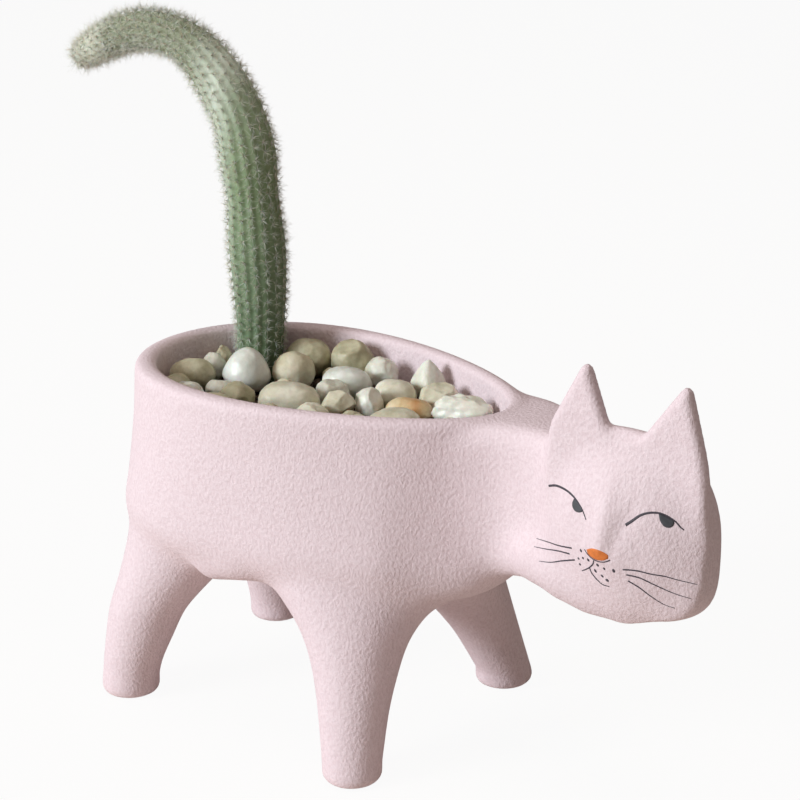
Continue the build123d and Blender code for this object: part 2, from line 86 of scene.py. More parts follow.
class Nodes:
    """A small helper that builds one node material."""

    def __init__(self, name):
        self.material = bpy.data.materials.new(name)
        self.material.use_nodes = True
        self.tree = self.material.node_tree
        self.shader = self.tree.nodes["Principled BSDF"]
        self.place = self.add("ShaderNodeTexCoord").outputs["Object"]

    def add(self, kind, **values):
        node = self.tree.nodes.new(kind)
        for name, value in values.items():
            setattr(node, name, value)
        return node

    def link(self, source, target):
        self.tree.links.new(source, target)

    def set(self, **values):
        for name, value in values.items():
            self.shader.inputs[name.replace("_", " ")].default_value = value

    def mapped(self, scale):
        node = self.add("ShaderNodeMapping")
        node.inputs["Scale"].default_value = scale
        self.link(self.place, node.inputs["Vector"])
        return node.outputs["Vector"]

    def noise(self, scale, detail, rough=0.55, place=None, distortion=0.0):
        node = self.add("ShaderNodeTexNoise")
        values = {"Scale": scale, "Detail": detail, "Roughness": rough, "Distortion": distortion}
        for name, value in values.items():
            node.inputs[name].default_value = value
        self.link(place or self.place, node.inputs["Vector"])
        return node.outputs["Fac"]

    def ramp(self, factor, *stops):
        """Colours along a factor. Each stop is a place from 0 to 1 and a colour."""
        node = self.add("ShaderNodeValToRGB")
        ramp = node.color_ramp
        while len(ramp.elements) < len(stops):
            ramp.elements.new(0.5)
        for element, (place, colour) in zip(ramp.elements, stops):
            element.position = place
            element.color = (*colour, 1.0)
        self.link(factor, node.inputs["Fac"])
        return node.outputs["Color"]

    def blend(self, factor, first, second, mode="MIX"):
        """Two colours mixed. Each input is another node's output, a number or a colour."""
        node = self.add("ShaderNodeMix", data_type="RGBA", blend_type=mode)
        for name, source in (("Factor", factor), ("A", first), ("B", second)):
            target = node.inputs[name]
            if isinstance(source, (int, float)):
                target.default_value = source
            elif isinstance(source, tuple):
                target.default_value = (*source, 1.0)
            else:
                self.link(source, target)
        return node.outputs["Result"]

    def spread(self, source, first, last, low=0.0, high=1.0):
        """A value that runs from low to high while its source runs from first to last."""
        node = self.add("ShaderNodeMapRange")
        for name, value in (("From Min", first), ("From Max", last), ("To Min", low), ("To Max", high)):
            node.inputs[name].default_value = value
        self.link(source, node.inputs["Value"])
        return node.outputs["Result"]

    def bump(self, *layers):
        """Layers are (height output, distance in metres, strength)."""
        normal = None
        for height, distance, strength in layers:
            node = self.add("ShaderNodeBump")
            node.inputs["Distance"].default_value = distance
            node.inputs["Strength"].default_value = strength
            self.link(height, node.inputs["Height"])
            if normal:
                self.link(normal, node.inputs["Normal"])
            normal = node.outputs["Normal"]
        self.link(normal, self.shader.inputs["Normal"])

    def colour(self, source):
        self.link(source, self.shader.inputs["Base Color"])

    def rough(self, source, low, high):
        self.link(self.spread(source, 0.0, 1.0, low, high), self.shader.inputs["Roughness"])


def linear(red, green, blue):
    """A colour written as the eye sees it, from 0 to 255, as Blender's linear colour."""
    return tuple(((c / 255 + 0.055) / 1.055) ** 2.4 if c > 10 else c / 255 / 12.92
                 for c in (red, green, blue))


def darker(colour, share):
    return tuple(c * share for c in colour)


BLACK, WHITE = (0, 0, 0), (1, 1, 1)
GLAZE_STRETCH = (1.0, 1.0, 0.8)


def ceramic_material():
    """Matte pink glaze with a fine stippled grain."""
    m = Nodes("pink_ceramic")
    fine = m.noise(1200, detail=2, rough=0.5, place=m.mapped(GLAZE_STRETCH))
    m.colour(m.ramp(fine, (0.35, linear(230, 209, 215)), (0.62, linear(238, 219, 225))))
    m.rough(fine, low=0.66, high=0.80)
    m.set(Specular_IOR_Level=0.3)
    m.bump((fine, 0.0005, 0.6))
    return m.material


def paint_material(name, colour, gloss):
    """Brushed-on paint with a slightly uneven coat."""
    m = Nodes(name)
    streak = m.noise(700, detail=4, rough=0.6)
    m.colour(m.ramp(streak, (0.3, darker(colour, 0.72)), (0.7, colour)))
    m.rough(streak, low=gloss, high=gloss + 0.2)
    m.bump((streak, 0.0001, 0.4))
    return m.material


def stone_material(name, light, mid, dark, gloss):
    """A tumbled pebble: soft clouds of colour and a fine grain."""
    m = Nodes(name)
    clouds = m.noise(95, detail=4, distortion=0.5)
    grain = m.noise(900, detail=4, rough=0.65)
    tone = m.ramp(clouds, (0.28, dark), (0.5, mid), (0.70, light))
    specks = m.ramp(grain, (0.3, darker(mid, 0.8)), (0.6, WHITE))
    m.colour(m.blend(0.25, tone, specks, "MULTIPLY"))
    m.rough(grain, low=gloss, high=gloss + 0.25)
    m.set(Specular_IOR_Level=0.5, Subsurface_Weight=0.15, Subsurface_Scale=0.003)
    m.bump((clouds, 0.0008, 0.3), (grain, 0.00015, 0.5))
    return m.material


def plain_material(name, low, high, rough, lump_height, scale):
    """A rough natural or moulded surface in two tones."""
    m = Nodes(name)
    lumps = m.noise(scale, detail=6, rough=0.65)
    fine = m.noise(scale * 4, detail=5, rough=0.6)
    m.colour(m.ramp(lumps, (0.32, low), (0.7, high)))
    m.rough(fine, low=rough, high=min(1.0, rough + 0.25))
    m.bump((lumps, lump_height, 0.8), (fine, lump_height / 4, 0.6))
    return m.material


# Where the stem's skin changes, in metres in the row's frame: with its height, and then along X over the bend
GREEN_RISE = (0.088, 0.186)
# A painted highlight: the skin is paler over the bend, where the light falls on the stem
BEND_HIGHLIGHT = (-0.050, -0.074)
DULL_TAIL = (-0.058, -0.070)
WOOLLY_TIP = (-0.102, -0.109)


def cactus_material():
    """Waxy green skin, darker low down, with a painted highlight over the bend and greyer along the tail."""
    m = Nodes("cactus_skin")
    fine = m.noise(420, detail=5, rough=0.6)
    split = m.add("ShaderNodeSeparateXYZ")
    m.link(m.place, split.inputs[0])
    along, height = split.outputs["X"], split.outputs["Z"]
    # Painted highlight: a pale band of skin over the bend, where the light falls on the stem
    bend = m.ramp(m.spread(along, *BEND_HIGHLIGHT), (0.0, BLACK), (0.30, WHITE), (0.60, WHITE), (1.0, BLACK))
    green = m.ramp(m.spread(height, *GREEN_RISE), (0.0, linear(100, 120, 88)), (0.30, linear(122, 142, 110)),
                   (0.60, linear(136, 156, 118)), (1.0, linear(166, 178, 152)))
    green = m.blend(bend, green, linear(214, 222, 208))
    green = m.blend(m.spread(along, *DULL_TAIL), green, linear(140, 146, 120))
    green = m.blend(m.spread(along, *WOOLLY_TIP), green, linear(240, 240, 228))
    shade = m.ramp(fine, (0.3, (0.80, 0.84, 0.76)), (0.7, WHITE))
    m.colour(m.blend(0.8, green, shade, "MULTIPLY"))
    m.rough(fine, low=0.5, high=0.75)
    m.set(Subsurface_Weight=0.08, Subsurface_Scale=0.002)
    m.bump((fine, 0.0003, 0.5))
    return m.material


def fibre_material(name, low, high):
    """Pale fibres of the cactus: spines and wool."""
    m = Nodes(name)
    m.colour(m.ramp(m.noise(300, detail=3), (0.3, low), (0.7, high)))
    m.set(Roughness=0.6, Subsurface_Weight=0.2, Subsurface_Scale=0.001, Sheen_Weight=0.4)
    m.bump((m.noise(1500, detail=2), 0.00005, 0.3))
    return m.material


# Each kind of pebble: its light, middle and dark tone, and its least roughness
STONE_LOOKS = {
    "pebble_white": ((244, 243, 235), (230, 228, 215), (198, 194, 174), 0.28),
    "pebble_cream": ((240, 236, 220), (224, 219, 198), (192, 186, 160), 0.3),
    "pebble_tan": ((226, 218, 196), (208, 199, 172), (178, 168, 140), 0.45),
    "pebble_olive": ((214, 208, 182), (192, 185, 156), (156, 149, 120), 0.35),
    "pebble_grey": ((246, 248, 244), (232, 234, 226), (200, 200, 188), 0.2),
    "pebble_rust": ((232, 222, 196), (220, 196, 154), (204, 148, 92), 0.3),
}
# Each plain surface: its two tones, roughness, height of its lumps in metres, and their scale
PLAIN_LOOKS = {
    "soil": ((38, 28, 20), (84, 66, 48), 0.8, 0.0012, 420),
    "roots": ((96, 74, 50), (160, 132, 98), 0.8, 0.0008, 300),
    "grit_stone": ((96, 88, 78), (168, 158, 142), 0.7, 0.0018, 260),
    "plug_rubber": ((120, 120, 122), (138, 138, 140), 0.55, 0.00005, 500),
    "screen_plastic": ((34, 38, 34), (52, 56, 50), 0.5, 0.00005, 600),
}
MATERIALS = {
    "pink_ceramic": ceramic_material(),
    "line_paint": paint_material("line_paint", linear(72, 66, 76), gloss=0.5),
    "pupil_paint": paint_material("pupil_paint", linear(76, 78, 84), gloss=0.45),
    "nose_paint": paint_material("nose_paint", linear(240, 134, 62), gloss=0.5),
    "cactus_skin": cactus_material(),
    "spines": fibre_material("spines", linear(206, 204, 184), linear(240, 238, 224)),
    "wool": fibre_material("wool", linear(214, 212, 194), linear(246, 244, 232)),
}
for name, (light, mid, dark, gloss) in STONE_LOOKS.items():
    MATERIALS[name] = stone_material(name, linear(*light), linear(*mid), linear(*dark), gloss)
for name, (low, high, rough, lump_height, scale) in PLAIN_LOOKS.items():
    MATERIALS[name] = plain_material(name, linear(*low), linear(*high), rough, lump_height, scale)


# Pieces

def add_piece(name, points, faces, material, body, stands_for=()):
    """A new smooth-shaded mesh piece on a CAD body. Points are in millimetres."""
    mesh = bpy.data.meshes.new(name)
    mesh.from_pydata((np.asarray(points, float) * MM).tolist(), [], faces)
    mesh.validate()
    mesh.update()
    mesh.shade_smooth()
    mesh.materials.append(MATERIALS[material])
    piece = bpy.data.objects.new(name, mesh)
    bpy.context.scene.collection.objects.link(piece)
    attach(piece, body)
    if stands_for:
        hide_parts(*stands_for)
    return piece


def dress(node, material):
    """Gives a carried-over CAD node its material."""
    slots = frame["nodes"][node].data.materials
    slots.clear()
    slots.append(MATERIALS[material])


def node_points(node):
    """A CAD node's corner points, in millimetres."""
    mesh = frame["nodes"][node].data
    points = np.empty(len(mesh.vertices) * 3, np.float32)
    mesh.vertices.foreach_get("co", points)
    return points.reshape(-1, 3) / MM


def node_triangles(node):
    """A CAD node's triangles, as the numbers of their corner points."""
    mesh = frame["nodes"][node].data
    mesh.calc_loop_triangles()
    triangles = np.empty(len(mesh.loop_triangles) * 3, np.int32)
    mesh.loop_triangles.foreach_get("vertices", triangles)
    return triangles.reshape(-1, 3)


def band_faces(rings, around):
    """The four-sided faces between rings of points."""
    faces = []
    for ring in range(rings - 1):
        here, there = ring * around, (ring + 1) * around
        for corner in range(around):
            after = (corner + 1) % around
            faces.append([here + corner, here + after, there + after, there + corner])
    return faces


def tube_faces(rings, around):
    """The faces of a closed tube: its bands, and a cap on either end."""
    last = (rings - 1) * around
    caps = [list(range(around))[::-1], [last + corner for corner in range(around)]]
    return band_faces(rings, around) + caps


def between(a, b, c, d, t):
    """The place at share t of the way from b to c, on the smooth curve that also passes a and d."""
    square = 2 * a - 5 * b + 4 * c - d
    cube = 3 * b - a - 3 * c + d
    return 0.5 * (2 * b + (c - a) * t + square * t ** 2 + cube * t ** 3)


# The casting: the CAD solid's own surface, with its creases melted as in a slip casting

GRID_STEP = 0.8
GRID_LOW = np.array((-98, -64, -8))
GRID_SIZE = (258, 128, 172)
GRID_REACH = 12 * GRID_STEP
GRID_MARGIN = 4 * GRID_STEP
WIDE_REACH = 16
SMALL_CREASE, LARGE_CREASE = 6, 12
MILD_PASSES, STRONG_PASSES = 1, 12
FOOT_TOP, FOOT_ROUND, FOOT_RISE = 4.5, 1.8, 0.1

# Where the photograph shows the casting fuller: rods under the throat and jaw, and one in the arch behind.
# These places and the edges below are in millimetres in the pot's frame
THROAT_PATH = [(66.7, -6.2, 64.4), (77.6, -10.0, 67.0), (86.5, -12.0, 66.0), (94.6, -12.0, 64.6),
               (103.6, -12.0, 64.4)]
THROAT_RADII = [7.0, 7.4, 7.4, 7.4]
ARCH_FILLING = ((-18.3, -31.7, 48.0), (-7.6, -32.7, 51.7), 5.0)
FILLINGS = [*zip(THROAT_PATH, THROAT_PATH[1:], THROAT_RADII), ARCH_FILLING]
FILLING_BLEND = 4.0
# Where it shows the casting drawn in: a rod beside the neck, at the pot's round end
HOLLOW = ((59.0, -29.0, 46.0), (58.5, -28.5, 80.0), 14.5)
HOLLOW_BLEND = 9.0

# The soft edges of regions that are treated apart, from end to end. WELL_EDGE, HOLLOW_EDGE and OVAL_EDGE are
# shares of the mouth and of the oval
WELL_EDGE, WELL_FLOOR = (0.98, 1.06), (47, 49)
DRAIN_EDGE, DRAIN_FOOT, DRAIN_TOP = (7, 10), (38, 41), (52, 54)
HOLLOW_EDGE = (1.09, 1.26)
LEAST_MOUTH_SHARE = 0.2
NECK_BACK, NECK_FRONT, NECK_TOP = (24, 36), (80, 92), (92, 99)
FRONT_SIDE = (17, 20)
FACE_BACK, FACE_TOP = (76, 84), (98, 106)
HEAD_BACK, EARS_FOOT = (80, 88), (104, 107)
TRUNK_FOOT, TRUNK_TOP = (36, 46), (84, 94)
OVAL_MIDDLE, OVAL_HALVES, OVAL_EDGE = (105, 83), (20, 21), (0.85, 1.05)

# The nose's ridge and the hollow on either side of it: height, X and Z of a point on its line, slant of the
# line, and width on the right and on the left
NOSE_RIDGE = (1.2, 103.0, 80, 0.07, 2.6, 4.5)
RIGHT_HOLLOW = (0.5, 107.0, 82.3, 0.4, 2.1, 2.1)
LEFT_HOLLOW = (0.3, 98.0, 82, 0.2, 3.0, 3.0)
RIDGE_FOOT, RIDGE_TOP = (74, 80), (88, 103)
HOLLOWS_FOOT, HOLLOWS_TOP = (76, 82), (88, 97)


def distance_grid(points, triangles, quads, reach):
    """The signed distance to a closed surface, in millimetres."""
    return vdb.FloatGrid.createLevelSetFromPolygons(
        np.asarray(points, np.float32), triangles=triangles, quads=quads,
        transform=vdb.createLinearTransform(voxelSize=GRID_STEP), halfWidth=reach / GRID_STEP)


def grid_corner():
    return tuple(int(v) for v in GRID_LOW)


def as_array(grid):
    values = np.empty(GRID_SIZE, np.float32)
    grid.copyToArray(values, ijk=grid_corner())
    return values


def filled_creases(grid, radius):
    """The surface with every hollow crease rounded to the radius: swollen by it, then shrunk again."""
    points, triangles, quads = grid.convertToPolygons(isovalue=radius)
    swollen = distance_grid(points, triangles, quads, radius + GRID_MARGIN)
    points, triangles, quads = swollen.convertToPolygons(isovalue=-radius)
    return as_array(distance_grid(points, triangles, quads, GRID_REACH))


def softened(values, passes):
    """The distances averaged with their neighbours."""
    for _ in range(passes):
        for axis in range(3):
            values = (np.roll(values, 1, axis) + 2 * values + np.roll(values, -1, axis)) / 4
    return values


def rise(values, low, high):
    """A smooth step from 0 at low to 1 at high."""
    t = np.clip((values - low) / (high - low), 0, 1)
    return t * t * (3 - 2 * t)


def fall(values, low, high):
    """A smooth step from 1 at low to 0 at high."""
    return 1 - rise(values, low, high)


def bank(x, z, height, line_x, line_z, slant, right_width, left_width):
    """A soft bank along a slanted line on the face."""
    beside = x - line_x - slant * (z - line_z)
    return height * np.exp(-(beside / np.where(beside > 0, right_width, left_width)) ** 2)


def nose_relief(x, z):
    """How far the face stands out: a ridge down to the nose, with a hollow on either side."""
    ridge = bank(x, z, *NOSE_RIDGE) * rise(z, *RIDGE_FOOT) * fall(z, *RIDGE_TOP)
    hollows = bank(x, z, *RIGHT_HOLLOW) + bank(x, z, *LEFT_HOLLOW)
    return ridge - hollows * rise(z, *HOLLOWS_FOOT) * fall(z, *HOLLOWS_TOP)


def rod(x, y, z, start, end, radius):
    """The distance to a rod with round ends."""
    start, way = np.array(start, float), np.subtract(end, start)
    share = ((x - start[0]) * way[0] + (y - start[1]) * way[1] + (z - start[2]) * way[2]) / (way @ way)
    share = np.clip(share, 0, 1)
    off = [axis - start[k] - way[k] * share for k, axis in enumerate((x, y, z))]
    return np.sqrt(off[0] ** 2 + off[1] ** 2 + off[2] ** 2) - radius


def joined(first, second, blend):
    """Two solids in one, with the crease between them filled."""
    near = np.clip(0.5 + 0.5 * (second - first) / blend, 0, 1)
    return second + (first - second) * near - blend * near * (1 - near)


def flat_feet(values, z):
    """The feet with their sides carried down to a small round at the floor."""
    level = int(round(FOOT_TOP / GRID_STEP)) - GRID_LOW[2]
    side = values[:, :, level:level + 1] + FOOT_ROUND
    under = FOOT_RISE - z + FOOT_ROUND
    corner = np.hypot(np.maximum(side, 0), np.maximum(under, 0))
    foot = np.minimum(np.maximum(side, under), 0) + corner - FOOT_ROUND
    return np.where(z < FOOT_TOP, np.minimum(values, foot), values)


def grid_places():
    """The grid's places along X, Y and Z, in millimetres in the pot's frame."""
    x, y, z = np.ogrid[tuple(slice(0, count) for count in GRID_SIZE)]
    x = (x + GRID_LOW[0]) * GRID_STEP - FRAME_SHIFT
    return x, (y + GRID_LOW[1]) * GRID_STEP, (z + GRID_LOW[2]) * GRID_STEP


def mouth_share(x, y):
    """How far a place lies from the middle of the pot's mouth, with 1 at its edge."""
    along = x / (OPENING_LENGTH / 2)
    across = y / (OPENING_WIDTH / 2 * np.maximum(LEAST_MOUTH_SHARE, 1 - OPENING_TAPER * along))
    return np.sqrt(along ** 2 + across ** 2)


def open_room(mouth, x, y, z):
    """1 inside the well and the drain hole, where the CAD surface stays as it is."""
    well = fall(mouth, *WELL_EDGE) * rise(z, *WELL_FLOOR)
    drain = fall(np.hypot(x - DRAIN_X, y), *DRAIN_EDGE) * rise(z, *DRAIN_FOOT) * fall(z, *DRAIN_TOP)
    return np.clip(well + drain, 0, 1)


def casting():
    """The pot, legs, neck and head as one smooth mesh."""
    points, triangles = node_points("cat_planter"), node_triangles("cat_planter")
    no_quads = np.empty((0, 4), np.int32)
    wide = distance_grid(points, triangles, no_quads, WIDE_REACH)
    sharp = as_array(distance_grid(points, triangles, no_quads, GRID_REACH))
    small, large = filled_creases(wide, SMALL_CREASE), filled_creases(wide, LARGE_CREASE)

    x, y, z = grid_places()
    mouth = mouth_share(x, y)
    closed = 1 - open_room(mouth, x, y, z)
    front = rise(-y, *FRONT_SIDE)
    neck = rise(x, *NECK_BACK) * fall(x, *NECK_FRONT) * fall(z, *NECK_TOP)
    face = front * rise(x, *FACE_BACK) * fall(z, *FACE_TOP)
    values = sharp + fall(z, *EARS_FOOT) * closed * (small - sharp)
    values = values + np.maximum(neck, face) * closed * (np.minimum(large, values) - values)

    for filling in FILLINGS:
        values = joined(values, rod(x, y, z, *filling), FILLING_BLEND)
    hollowed = -joined(-values, rod(x, y, z, *HOLLOW), HOLLOW_BLEND)
    values = values + rise(mouth, *HOLLOW_EDGE) * (hollowed - values)
    values = flat_feet(values, z)

    mild, strong = softened(values, MILD_PASSES), softened(values, STRONG_PASSES)
    off_x, off_z = (x - OVAL_MIDDLE[0]) / OVAL_HALVES[0], (z - OVAL_MIDDLE[1]) / OVAL_HALVES[1]
    face_oval = front * fall(np.hypot(off_x, off_z), *OVAL_EDGE)
    trunk = rise(z, *TRUNK_FOOT) * fall(z, *TRUNK_TOP)
    melt = np.maximum(face_oval, trunk) * (1 - rise(x, *HEAD_BACK) * (1 - front)) * closed
    values = mild + melt * (strong - mild) - front * nose_relief(x, z)

    grid = vdb.FloatGrid(GRID_REACH)
    grid.transform = vdb.createLinearTransform(voxelSize=GRID_STEP)
    grid.copyFromArray(values.astype(np.float32), ijk=grid_corner())
    grid.gridClass = vdb.GridClass.LEVEL_SET
    return grid.convertToPolygons(isovalue=0.0, adaptivity=0.0)


casting_points, casting_triangles, casting_quads = casting()
casting_faces = [face[::-1] for face in casting_quads.tolist() + casting_triangles.tolist()]
add_piece("cat_casting", casting_points, casting_faces, "pink_ceramic", "pot",
          ["cat_planter"])
surface = BVHTree.FromPolygons([Vector(p) for p in casting_points.tolist()], casting_faces)


# Paint on the face, placed where the photograph's pixels meet the casting

PAINT_RISE = 0.09
PAINT_SINK = 0.25
LINE_STEP, PATCH_STEP = 1.2, 0.9
BRUSH_SHARES = (-1, -0.6, 0.6, 1)
PATCH_RINGS, DOT_RINGS = 4, 2
OVAL_POINTS = 10

# Lines: their widths at the start, middle and end in millimetres, and their corners in pixels
EYE_LINES = {
    "eye_line_left": ((0.62, 0.56, 0.34), [
        (548.8, 485.8), (555.4, 485.5), (561.5, 487.6), (567.6, 491.2), (573.6, 496.7), (578.5, 503.3),
        (582.1, 509.4), (584.5, 515.4), (586.0, 519.7)]),
    "eye_line_right": ((0.80, 0.52, 0.34), [
        (625.7, 525.1), (633, 520.3), (639.1, 516), (646.3, 513.4), (653.6, 512.7), (660.9, 513.6),
        (668.1, 516.7), (675.4, 521.5), (680.3, 527), (683.9, 530)]),
}
MOUTH_LINES = {
    "nose_line": ((0.34, 0.42, 0.34), [
        (584.5, 549.4), (588.2, 554.8), (593, 559.1), (599.1, 561.7), (605.1, 561.9), (610, 560.3)]),
    "mouth_left": ((0.40, 0.40, 0.26), [
        (593.6, 560.3), (593, 563.9), (589.4, 567.5), (585.7, 569.4), (582.1, 570.8)]),
    "mouth_right": ((0.40, 0.40, 0.26), [
        (589.4, 567.5), (591.8, 573), (596.6, 579.1), (602.7, 584.5), (609.4, 586.6)]),
}
WHISKER_WIDTHS = (0.46, 0.34, 0.14)
WHISKERS = {
    "whisker_left_1": [(571.8, 548.2), (559.1, 545.7), (548.2, 542.1), (536.7, 538.5)],
    "whisker_left_2": [(569.7, 553.9), (557.9, 550.9), (545.8, 549), (534.2, 546.6)],
    "whisker_left_3": [(574.8, 559.9), (561.5, 560.9), (550.6, 562.3), (539.1, 561.1)],
    "whisker_right_1": [(622.7, 569.6), (636.6, 570.8), (651.2, 574.2), (664.5, 576.4), (679, 580.3),
                        (697.2, 584.5)],
    "whisker_right_2": [(626.3, 574.8), (639.1, 577.8), (652.4, 583.9), (665.7, 590), (677.8, 594.8),
                        (691.2, 598.7)],
    "whisker_right_3": [(628.1, 580.9), (639.1, 587.5), (648.7, 594.8), (659.7, 602.1), (666.9, 605.7),
                        (674.8, 608.1)],
}
# Patches: their paint, and their outline in pixels
PATCHES = {
    "pupil_left": ("pupil_paint", [
        (574.0, 498.6), (578.0, 502.6), (581.9, 508.6), (582.6, 511.4), (579.8, 512.6), (575.6, 511.6),
        (572.6, 507.6), (572.2, 502.6)]),
    "pupil_right": ("pupil_paint", [
        (658.6, 514.0), (664.0, 515.6), (669.4, 518.4), (674.2, 521.6), (673.6, 525.6), (669.6, 528.0),
        (664.0, 526.4), (660.0, 520.8)]),
    "nose": ("nose_paint", [
        (586.3, 549.4), (593, 548.5), (602.7, 551.8), (608.2, 555.4), (607.6, 559.1), (601.5, 560.9),
        (594.2, 559.1), (588.2, 554.2)]),
}
# Dots: the middle, long half and short half of each oval in pixels, and its slant in degrees
DOTS = [
    (580.9, 550.6, 1.9, 0.9, 65), (578.5, 558.5, 1.5, 0.8, 50), (583.0, 558.1, 1.5, 0.8, 60),
    (588.2, 559.9, 1.9, 1.0, 55), (579.9, 564.3, 1.5, 0.8, 50), (597.6, 565.1, 2.0, 1.0, 50),
    (595.4, 570.9, 2.2, 1.0, 55), (604.2, 568.8, 1.8, 0.9, 50), (613.6, 570.8, 2.2, 1.4, 60),
    (602.1, 576.0, 2.0, 0.9, 45), (607.2, 580.3, 2.2, 1.2, 40),
]


def on_casting(u, v):
    """The point and outward normal of the casting under a pixel of the photograph."""
    right, down = (u - PHOTO_SIZE / 2) / FOCAL_PIXELS, (v - PHOTO_SIZE / 2) / FOCAL_PIXELS
    way = eye_right * right - eye_up * down - eye_back
    point, normal, _, _ = surface.ray_cast(eye, way.normalized())
    return point, outward(normal)


def outward(normal):
    return normal if normal.dot(eye_back) > 0 else -normal


def nearest(point):
    place, normal, _, _ = surface.find_nearest(point)
    return place, outward(normal)


def smooth_line(corners, step):
    """A smooth curve of pixels through the corners."""
    corners = [np.array(c, float) for c in corners]
    corners = [2 * corners[0] - corners[1]] + corners + [2 * corners[-1] - corners[-2]]
    line = []
    for a, b, c, d in zip(corners, corners[1:], corners[2:], corners[3:]):
        count = max(2, int(np.linalg.norm(c - b) / step))
        line += [between(a, b, c, d, i / count) for i in range(count)]
    line.append(corners[-2])
    return line


def brush_line(name, widths, corners):
    """A thin raised line of paint, with its own width at the start, middle and end."""
    line = [on_casting(*p) for p in smooth_line(corners, LINE_STEP)]
    points = []
    for index, (point, normal) in enumerate(line):
        before, after = line[max(index - 1, 0)][0], line[min(index + 1, len(line) - 1)][0]
        side = (after - before).normalized().cross(normal)
        width = float(np.interp(index / (len(line) - 1), (0, 0.5, 1), widths))
        for share in BRUSH_SHARES:
            place, out = nearest(point + side * (width / 2 * share))
            points.append(place + out * (PAINT_RISE if abs(share) < 1 else 0.0))
        for share in reversed(BRUSH_SHARES):
            place, out = nearest(point + side * (width / 2 * share))
            points.append(place - out * PAINT_SINK)
    faces = tube_faces(len(line), 2 * len(BRUSH_SHARES))
    return add_piece(name, points, faces, "line_paint", "pot")


def brush_patch(name, outline, material, rings):
    """A filled, slightly raised patch of paint inside an outline of pixels."""
    outline = smooth_line([*outline, outline[0]], PATCH_STEP)[:-1]
    middle = sum(outline) / len(outline)
    points = []
    for ring in range(rings + 1):
        share = 1 - ring / (rings + 1)
        for pixel in outline:
            place, out = on_casting(*(middle + (pixel - middle) * share))
            points.append(place + out * (PAINT_RISE if ring else 0.0))
    place, out = on_casting(*middle)
    points.append(place + out * PAINT_RISE)
    for pixel in [*outline, middle]:
        place, out = on_casting(*pixel)
        points.append(place - out * PAINT_SINK)
    count = len(outline)
    top, bottom = (rings + 1) * count, len(points) - 1
    low = top + 1
    faces = band_faces(rings + 1, count)
    for corner in range(count):
        after = (corner + 1) % count
        faces.append([rings * count + corner, rings * count + after, top])
        faces.append([low + after, low + corner, bottom])
        faces.append([corner, low + corner, low + after, after])
    return add_piece(name, points, faces, material, "pot")


def oval(u, v, half_long, half_short, degrees):
    """The outline of a small slanted oval of pixels."""
    turn = math.radians(degrees)
    outline = []
    for index in range(OVAL_POINTS):
        angle = 2 * math.pi * index / OVAL_POINTS
        along, across = half_long * math.cos(angle), half_short * math.sin(angle)
        outline.append((u + along * math.cos(turn) - across * math.sin(turn),
                        v + along * math.sin(turn) + across * math.cos(turn)))
    return outline


for name, (widths, corners) in EYE_LINES.items():
    brush_line(name, widths, corners)
for name, (material, outline) in PATCHES.items():
    brush_patch(name, outline, material, PATCH_RINGS)
for name, (widths, corners) in MOUTH_LINES.items():
    brush_line(name, widths, corners)
for name, corners in WHISKERS.items():
    brush_line(name, WHISKER_WIDTHS, corners)
for number, dot in enumerate(DOTS, 1):
    brush_patch(f"dot_{number:02d}", oval(*dot), "line_paint", DOT_RINGS)


# Pebbles: each CAD pebble gives way to a tumbled stone of the same size, in the same place

def ball(levels):
    """A unit ball's points and triangles."""
    golden = (1 + math.sqrt(5)) / 2
    corners = [(-1, golden, 0), (1, golden, 0), (-1, -golden, 0), (1, -golden, 0),
               (0, -1, golden), (0, 1, golden), (0, -1, -golden), (0, 1, -golden),
               (golden, 0, -1), (golden, 0, 1), (-golden, 0, -1), (-golden, 0, 1)]
    faces = [(0, 11, 5), (0, 5, 1), (0, 1, 7), (0, 7, 10), (0, 10, 11),
             (1, 5, 9), (5, 11, 4), (11, 10, 2), (10, 7, 6), (7, 1, 8),
             (3, 9, 4), (3, 4, 2), (3, 2, 6), (3, 6, 8), (3, 8, 9),
             (4, 9, 5), (2, 4, 11), (6, 2, 10), (8, 6, 7), (9, 8, 1)]
    points = [np.array(p, float) / np.linalg.norm(p) for p in corners]
    for _ in range(levels):
        middles, finer = {}, []

        def middle(a, b):
            key = (min(a, b), max(a, b))
            if key not in middles:
                p = points[a] + points[b]
                points.append(p / np.linalg.norm(p))
                middles[key] = len(points) - 1
            return middles[key]

        for a, b, c in faces:
            ab, bc, ca = middle(a, b), middle(b, c), middle(c, a)
            finer += [(a, ab, ca), (b, bc, ab), (c, ca, bc), (ab, bc, ca)]
        faces = finer
    return np.array(points), [list(face) for face in faces]


STONE_POINTS, STONE_FACES = ball(4)
STONE_SEED, SEED_SPAN = 1000, 50
STONE_SWELL, STONE_LIMIT = 1.02, 1.03
FLAT_SPREAD, FLATNESS = (0.6, 1.3), 0.93
LUMP_SCALE, DENT_SCALE, PIT_SCALE = 1.6, 3.7, 11
DENT_SHARE, PIT_SHARE = 0.45, 0.008
TAPER_START = 0.3

